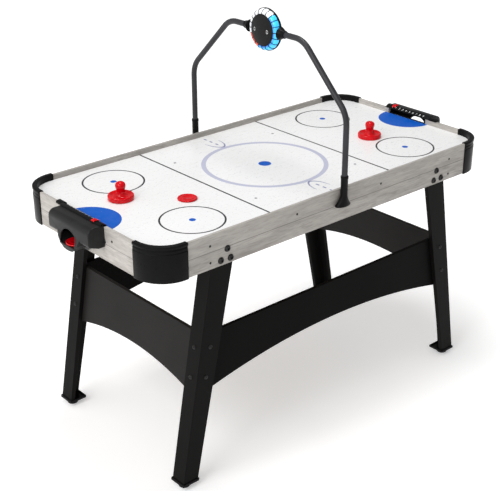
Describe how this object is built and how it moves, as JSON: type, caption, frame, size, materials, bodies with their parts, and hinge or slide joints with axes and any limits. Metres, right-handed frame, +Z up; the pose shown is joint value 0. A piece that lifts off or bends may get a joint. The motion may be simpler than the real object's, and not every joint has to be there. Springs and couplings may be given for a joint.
{
  "type": "air hockey table",
  "caption": "Free-standing air hockey table with a blown playing surface, splayed legs, goal boxes and an arch that carries a lit round scorer.",
  "frame": {"origin": "on the floor, under the middle of the table: the bottom centre of its box", "axes": "+X runs along the table to the right-hand goal, +Y runs across it to the rear side, +Z is up"},
  "size_m": [1.494, 0.73, 1.2865],
  "materials": {
    "washed_wood": "printed grey washed plank laminate, satin",
    "playing_surface": "smooth white coated board with printed marks",
    "raw_board": "raw fibreboard",
    "black_board": "black laminated board, satin",
    "black_plastic": "injection moulded, fine texture",
    "arch_steel": "dark grey powder coat",
    "bolt_steel": "black oxide",
    "foot_rubber": "moulded, matt",
    "red_plastic": "polished moulding",
    "light_ring": "translucent moulding, lit from inside",
    "circuit_board": "solder mask over glass fibre",
    "motor_steel": "plated can"
  },
  "bodies": {
    "table": {"arch_bracket_front": "black_plastic", "arch_bracket_rear": "black_plastic", "arch_tube_front": "arch_steel", "arch_tube_rear": "arch_steel", "blower_grille": "black_plastic", "blower_housing": "black_plastic", "blower_motor": "motor_steel", "bottom_panel": "raw_board", "corner_cap_front_left": "black_plastic", "corner_cap_front_right": "black_plastic", "corner_cap_rear_left": "black_plastic", "corner_cap_rear_right": "black_plastic", "front_side_apron": "black_board", "front_side_panel": "washed_wood", "goal_box_left": "black_plastic", "goal_box_right": "black_plastic", "goal_sensor_left": "black_plastic", "goal_sensor_right": "black_plastic", "left_end_apron": "black_board", "left_end_panel": "washed_wood", "leg_bolts_front_left": "bolt_steel", "leg_bolts_front_right": "bolt_steel", "leg_bolts_rear_left": "bolt_steel", "leg_bolts_rear_right": "bolt_steel", "leg_cap_front_left": "black_plastic", "leg_cap_front_right": "black_plastic", "leg_cap_rear_left": "black_plastic", "leg_cap_rear_right": "black_plastic", "leg_front_left": "black_board", "leg_front_right": "black_board", "leg_rear_left": "black_board", "leg_rear_right": "black_board", "playfield": "playing_surface", "plenum_frame": "raw_board", "plenum_rib_left": "raw_board", "plenum_rib_right": "raw_board", "power_jack": "bolt_steel", "rear_side_apron": "black_board", "rear_side_panel": "washed_wood", "right_end_apron": "black_board", "right_end_panel": "washed_wood", "score_strip_left": "black_plastic", "score_strip_right": "black_plastic", "scorer_circuit_board": "circuit_board", "scorer_front_cover": "black_plastic", "scorer_light_ring": "light_ring", "scorer_rear_housing": "black_plastic", "switch_bezel": "black_plastic"},
    "mallet_left": {"mallet_left": "red_plastic"},
    "mallet_right": {"mallet_right": "red_plastic"},
    "table_puck": {"puck_on_table": "red_plastic"},
    "return_puck": {"puck_in_return": "red_plastic"},
    "slider_left": {"score_slider_left": "red_plastic"},
    "slider_right": {"score_slider_right": "red_plastic"},
    "impeller": {"blower_impeller": "black_plastic"},
    "rocker": {"switch_rocker": "red_plastic"},
    "foot_front_left": {"leveler_foot_front_left": "foot_rubber"},
    "foot_front_right": {"leveler_foot_front_right": "foot_rubber"},
    "foot_rear_left": {"leveler_foot_rear_left": "foot_rubber"},
    "foot_rear_right": {"leveler_foot_rear_right": "foot_rubber"}
  },
  "joints": [
    {"name": "mallet_left_slide", "type": "slide", "parent": "table", "child": "mallet_left", "axis": [1, 0, 0], "range_m": [-0.12, 0.44]},
    {"name": "mallet_right_slide", "type": "slide", "parent": "table", "child": "mallet_right", "axis": [1, 0, 0], "range_m": [-0.35, 0.2]},
    {"name": "table_puck_slide", "type": "slide", "parent": "table", "child": "table_puck", "axis": [1, 0, 0], "range_m": [-0.27, 0.35]},
    {"name": "return_puck_slide", "type": "slide", "parent": "table", "child": "return_puck", "axis": [-1, 0, 0], "range_m": [0, 0.045]},
    {"name": "slider_left_slide", "type": "slide", "parent": "table", "child": "slider_left", "axis": [0, 1, 0], "range_m": [0, 0.132]},
    {"name": "slider_right_slide", "type": "slide", "parent": "table", "child": "slider_right", "axis": [0, -1, 0], "range_m": [0, 0.132]},
    {"name": "foot_front_left_screw", "type": "slide", "parent": "table", "child": "foot_front_left", "axis": [0, 0, -1], "range_m": [0, 0.012]},
    {"name": "foot_front_right_screw", "type": "slide", "parent": "table", "child": "foot_front_right", "axis": [0, 0, -1], "range_m": [0, 0.012]},
    {"name": "foot_rear_left_screw", "type": "slide", "parent": "table", "child": "foot_rear_left", "axis": [0, 0, -1], "range_m": [0, 0.012]},
    {"name": "foot_rear_right_screw", "type": "slide", "parent": "table", "child": "foot_rear_right", "axis": [0, 0, -1], "range_m": [0, 0.012]},
    {"name": "impeller_spin", "type": "hinge", "parent": "table", "child": "impeller", "pos_m": [0, 0, 0.751], "axis": [0, 0, 1], "continuous": true},
    {"name": "rocker_tilt", "type": "hinge", "parent": "table", "child": "rocker", "pos_m": [0.022, 0.094, 0.7421], "axis": [1, 0, 0], "range_deg": [0, 14]}
  ]
}
